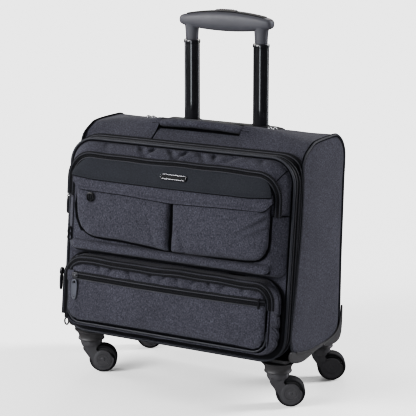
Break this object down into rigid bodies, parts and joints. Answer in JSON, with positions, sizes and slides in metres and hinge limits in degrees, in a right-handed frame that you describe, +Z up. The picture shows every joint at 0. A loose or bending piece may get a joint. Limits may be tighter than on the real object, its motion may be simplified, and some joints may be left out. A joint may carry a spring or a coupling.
{
  "type": "rolling laptop case",
  "caption": "Soft-sided wheeled laptop case with swivel casters, telescopic trolley handle, padded carry handle and zipped front pockets that open.",
  "frame": {"origin": "on the floor under the middle of the object as it stands", "axes": "+X to the right seen from the front, +Y to the back, +Z up"},
  "size_m": [0.4453, 0.262, 0.626],
  "materials": {
    "melange_fabric": "heathered charcoal polyester, padded",
    "smooth_nylon": "smooth dark coated nylon",
    "zip_tape": "black woven tape with coil zip",
    "lining_fabric": "plain grey lining over foam",
    "moulded_plastic": "matte dark grey, fine texture",
    "wheel_hub": "matte dark grey",
    "tyre": "matte black",
    "axle_steel": "brushed",
    "gloss_tube": "gloss black coated",
    "anodised_tube": "satin dark anodised",
    "grip_plastic": "matte dark grey, fine grain",
    "pull_metal": "satin gunmetal"
  },
  "bodies": {
    "shell": {"side_panel_left": "melange_fabric", "side_panel_right": "melange_fabric", "top_panel": "melange_fabric", "back_panel": "melange_fabric", "base_tray": "moulded_plastic", "back_lining": "lining_fabric", "laptop_divider": "lining_fabric", "zip_band": "zip_tape", "trolley_bezel": "moulded_plastic", "trolley_foot": "moulded_plastic", "sheath_tube_left": "anodised_tube", "sheath_tube_right": "anodised_tube", "handle_anchor_left": "pull_metal", "handle_anchor_right": "pull_metal", "corner_guard_front_left": "moulded_plastic", "corner_guard_front_right": "moulded_plastic", "corner_guard_rear_left": "moulded_plastic", "corner_guard_rear_right": "moulded_plastic"},
    "trolley_outer": {"outer_tube_left": "gloss_tube", "outer_tube_right": "gloss_tube", "tube_collar_left": "grip_plastic", "tube_collar_right": "grip_plastic"},
    "trolley_inner": {"inner_tube_left": "anodised_tube", "inner_tube_right": "anodised_tube", "grip_body": "grip_plastic", "grip_cover": "grip_plastic"},
    "button": {"release_button": "grip_plastic", "release_yoke": "axle_steel"},
    "caster_front_left": {"caster_fork_front_left": "moulded_plastic", "wheel_axle_front_left": "axle_steel"},
    "wheel_front_left": {"wheel_hub_front_left": "wheel_hub", "wheel_tyre_front_left": "tyre"},
    "caster_front_right": {"caster_fork_front_right": "moulded_plastic", "wheel_axle_front_right": "axle_steel"},
    "wheel_front_right": {"wheel_hub_front_right": "wheel_hub", "wheel_tyre_front_right": "tyre"},
    "caster_rear_left": {"caster_fork_rear_left": "moulded_plastic", "wheel_axle_rear_left": "axle_steel"},
    "wheel_rear_left": {"wheel_hub_rear_left": "wheel_hub", "wheel_tyre_rear_left": "tyre"},
    "caster_rear_right": {"caster_fork_rear_right": "moulded_plastic", "wheel_axle_rear_right": "axle_steel"},
    "wheel_rear_right": {"wheel_hub_rear_right": "wheel_hub", "wheel_tyre_rear_right": "tyre"},
    "lid": {"lid_panel": "melange_fabric", "upper_pocket_gusset": "melange_fabric", "lower_pocket_gusset": "melange_fabric"},
    "upper_front": {"upper_pocket_front": "smooth_nylon", "patch_pockets": "melange_fabric", "blank_badge": "pull_metal"},
    "flap": {"pocket_flap": "melange_fabric"},
    "lower_front": {"lower_pocket_front": "melange_fabric"},
    "carry": {"carry_handle": "melange_fabric"},
    "front_slider": {"front_zip_slider": "pull_metal"},
    "front_pull": {"front_zip_pull": "pull_metal"},
    "flap_ring_pull": {"flap_ring": "pull_metal"},
    "side_pull": {"side_zip_pull": "moulded_plastic"},
    "corner_ring_pull": {"corner_ring": "pull_metal"},
    "main_pull": {"main_zip_pull": "moulded_plastic"}
  },
  "joints": [
    {"name": "trolley_outer_slide", "type": "slide", "parent": "shell", "child": "trolley_outer", "axis": [0, 0, 1], "range_m": [-0.13, 0.125]},
    {"name": "trolley_inner_slide", "type": "slide", "parent": "trolley_outer", "child": "trolley_inner", "axis": [0, 0, 1], "range_m": [0, 0.2]},
    {"name": "release_button_press", "type": "slide", "parent": "trolley_inner", "child": "button", "axis": [0, 0, -1], "range_m": [0, 0.003], "stiffness_N_per_m": 1500, "springref_m": -0.002},
    {"name": "swivel_front_left", "type": "hinge", "parent": "shell", "child": "caster_front_left", "pos_m": [-0.183, -0.057, 0.06], "axis": [0, 0, 1], "continuous": true},
    {"name": "roll_front_left", "type": "hinge", "parent": "caster_front_left", "child": "wheel_front_left", "pos_m": [-0.16518, -0.04687, 0.024], "axis": [-0.4939, 0.8695, 0], "continuous": true},
    {"name": "swivel_front_right", "type": "hinge", "parent": "shell", "child": "caster_front_right", "pos_m": [0.183, -0.057, 0.06], "axis": [0, 0, 1], "continuous": true},
    {"name": "roll_front_right", "type": "hinge", "parent": "caster_front_right", "child": "wheel_front_right", "pos_m": [0.20082, -0.04687, 0.024], "axis": [-0.4939, 0.8695, 0], "continuous": true},
    {"name": "swivel_rear_left", "type": "hinge", "parent": "shell", "child": "caster_rear_left", "pos_m": [-0.183, 0.099, 0.06], "axis": [0, 0, 1], "continuous": true},
    {"name": "roll_rear_left", "type": "hinge", "parent": "caster_rear_left", "child": "wheel_rear_left", "pos_m": [-0.16518, 0.10913, 0.024], "axis": [-0.4939, 0.8695, 0], "continuous": true},
    {"name": "swivel_rear_right", "type": "hinge", "parent": "shell", "child": "caster_rear_right", "pos_m": [0.183, 0.099, 0.06], "axis": [0, 0, 1], "continuous": true},
    {"name": "roll_rear_right", "type": "hinge", "parent": "caster_rear_right", "child": "wheel_rear_right", "pos_m": [0.20082, 0.10913, 0.024], "axis": [-0.4939, 0.8695, 0], "continuous": true},
    {"name": "lid_open", "type": "hinge", "parent": "shell", "child": "lid", "pos_m": [0, -0.0929, 0.082], "axis": [1, 0, 0], "range_deg": [0, 50]},
    {"name": "upper_pocket_open", "type": "hinge", "parent": "lid", "child": "upper_front", "pos_m": [0, -0.1023, 0.2279], "axis": [1, 0, 0], "range_deg": [0, 80]},
    {"name": "pocket_flap_lift", "type": "hinge", "parent": "upper_front", "child": "flap", "pos_m": [0, -0.09961, 0.35839], "axis": [-1, 0, 0], "range_deg": [0, 120]},
    {"name": "lower_pocket_open", "type": "hinge", "parent": "lid", "child": "lower_front", "pos_m": [0, -0.12481, 0.10563], "axis": [1, 0, 0], "range_deg": [0, 60]},
    {"name": "carry_handle_lift", "type": "slide", "parent": "shell", "child": "carry", "axis": [0, 0, 1], "range_m": [0, 0.012]},
    {"name": "front_zip_run", "type": "slide", "parent": "lower_front", "child": "front_slider", "axis": [1, 0, 0], "range_m": [0, 0.34]},
    {"name": "front_pull_swing", "type": "hinge", "parent": "front_slider", "child": "front_pull", "pos_m": [-0.17, -0.12699, 0.17992], "axis": [-1, 0, 0], "range_deg": [0, 90]},
    {"name": "flap_ring_pull_swing", "type": "hinge", "parent": "upper_front", "child": "flap_ring_pull", "pos_m": [-0.148, -0.105, 0.32951], "axis": [-1, 0, 0], "range_deg": [0, 80]},
    {"name": "side_pull_swing", "type": "hinge", "parent": "lid", "child": "side_pull", "pos_m": [-0.2093, -0.10582, 0.18403], "axis": [0, 0.994, -0.1094], "range_deg": [0, 80]},
    {"name": "corner_ring_pull_swing", "type": "hinge", "parent": "lid", "child": "corner_ring_pull", "pos_m": [-0.204, -0.12109, 0.10925], "axis": [0, 0.994, -0.1094], "range_deg": [0, 60]},
    {"name": "main_pull_swing", "type": "hinge", "parent": "shell", "child": "main_pull", "pos_m": [-0.218, -0.056, 0.343], "axis": [0, 1, 0], "range_deg": [0, 80]}
  ]
}
